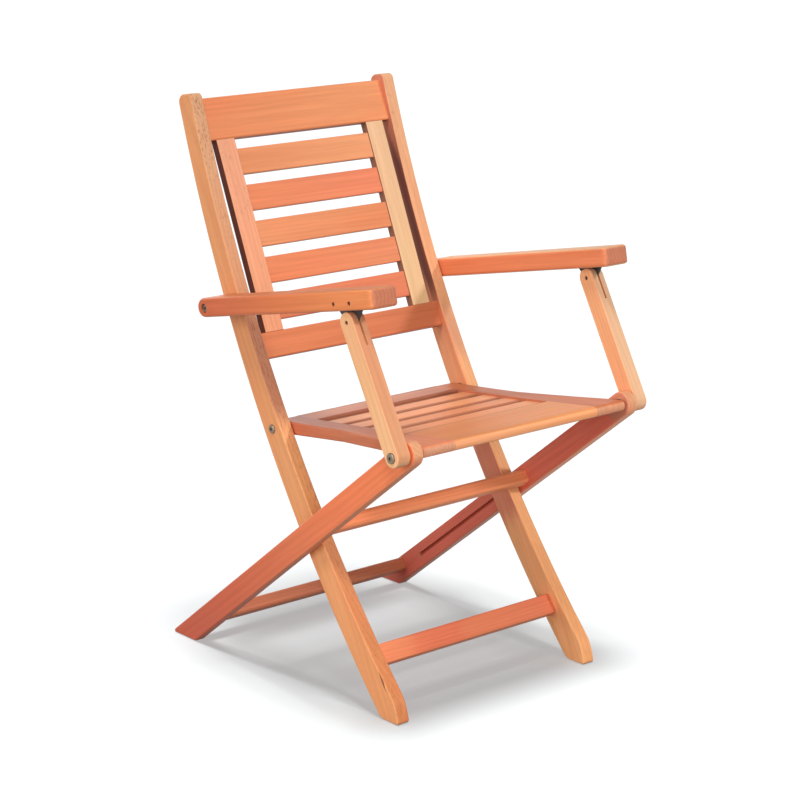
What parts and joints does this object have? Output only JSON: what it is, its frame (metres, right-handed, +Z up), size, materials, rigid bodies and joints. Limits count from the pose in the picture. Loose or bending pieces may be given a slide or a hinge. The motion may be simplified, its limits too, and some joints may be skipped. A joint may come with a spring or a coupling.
{
  "type": "folding wooden armchair",
  "caption": "Folding slatted wooden armchair with bowed back stiles, crossing legs, a dished slat seat and hinged flat arms.",
  "frame": {"origin": "on the floor, at the middle of the chair's box when it is open", "axes": "+Z up, the sitter faces -Y, +X to the sitter's left"},
  "size_m": [0.5264, 0.5954, 0.8953],
  "materials": {
    "honey_wood": "oiled satin",
    "orange_wood": "oiled satin",
    "salmon_wood": "oiled satin",
    "red_wood": "oiled satin",
    "tan_wood": "oiled satin",
    "bright_steel": "satin zinc",
    "dark_steel": "black satin"
  },
  "bodies": {
    "back_frame": {"arm_pivot_bolts": "bright_steel", "arm_pivot_washers": "bright_steel", "back_slat_1": "orange_wood", "back_slat_2": "salmon_wood", "back_slat_3": "orange_wood", "back_slat_4": "salmon_wood", "back_slat_5": "red_wood", "crest_rail": "orange_wood", "front_stretcher": "red_wood", "guide_pins": "bright_steel", "left_slat_post": "honey_wood", "left_stile": "honey_wood", "lower_back_rail": "tan_wood", "right_slat_post": "salmon_wood", "right_stile": "honey_wood", "seat_pivot_bolts": "bright_steel", "seat_pivot_washers": "bright_steel"},
    "seat": {"front_pivot_bolts": "bright_steel", "front_pivot_washers": "bright_steel", "left_seat_rail": "tan_wood", "post_washers": "bright_steel", "right_seat_rail": "tan_wood", "seat_front_slat": "tan_wood", "seat_slat_1": "tan_wood", "seat_slat_2": "tan_wood", "seat_slat_3": "tan_wood", "seat_slat_4": "tan_wood", "seat_slat_5": "tan_wood"},
    "left_post": {"left_arm_post": "orange_wood", "left_hinge_pin": "dark_steel"},
    "left_arm": {"left_armrest": "orange_wood", "left_hinge_plate": "dark_steel", "left_plate_pins": "dark_steel"},
    "cross_legs": {"left_leg": "red_wood", "mid_stretcher": "orange_wood", "rear_stretcher": "red_wood", "right_leg": "red_wood"},
    "right_post": {"right_arm_post": "honey_wood", "right_hinge_pin": "dark_steel"},
    "right_arm": {"right_armrest": "orange_wood", "right_hinge_plate": "dark_steel", "right_plate_pins": "dark_steel"}
  },
  "joints": [
    {"name": "seat_fold", "type": "hinge", "parent": "back_frame", "child": "seat", "pos_m": [0, 0.06065, 0.398], "axis": [-1, 0, 0], "range_deg": [0, 98]},
    {"name": "leg_fold", "type": "hinge", "parent": "seat", "child": "cross_legs", "pos_m": [0, -0.27806, 0.43749], "axis": [1, 0, 0], "range_deg": [0, 25.48]},
    {"name": "right_arm_fold", "type": "hinge", "parent": "back_frame", "child": "right_arm", "pos_m": [0, 0.16307, 0.57903], "axis": [-1, 0, 0], "range_deg": [0, 98]},
    {"name": "right_post_fold", "type": "hinge", "parent": "right_arm", "child": "right_post", "pos_m": [0, -0.17563, 0.61852], "axis": [1, 0, 0], "range_deg": [0, 98]},
    {"name": "left_arm_fold", "type": "hinge", "parent": "back_frame", "child": "left_arm", "pos_m": [0, 0.16307, 0.57903], "axis": [-1, 0, 0], "range_deg": [0, 98]},
    {"name": "left_post_fold", "type": "hinge", "parent": "left_arm", "child": "left_post", "pos_m": [0, -0.17563, 0.61852], "axis": [1, 0, 0], "range_deg": [0, 98]}
  ],
  "couplings": [
    {"joint": "leg_fold", "follows": "seat_fold", "ratio": 0.26},
    {"joint": "right_arm_fold", "follows": "seat_fold", "ratio": 1},
    {"joint": "right_post_fold", "follows": "seat_fold", "ratio": 1},
    {"joint": "left_arm_fold", "follows": "seat_fold", "ratio": 1},
    {"joint": "left_post_fold", "follows": "seat_fold", "ratio": 1}
  ]
}
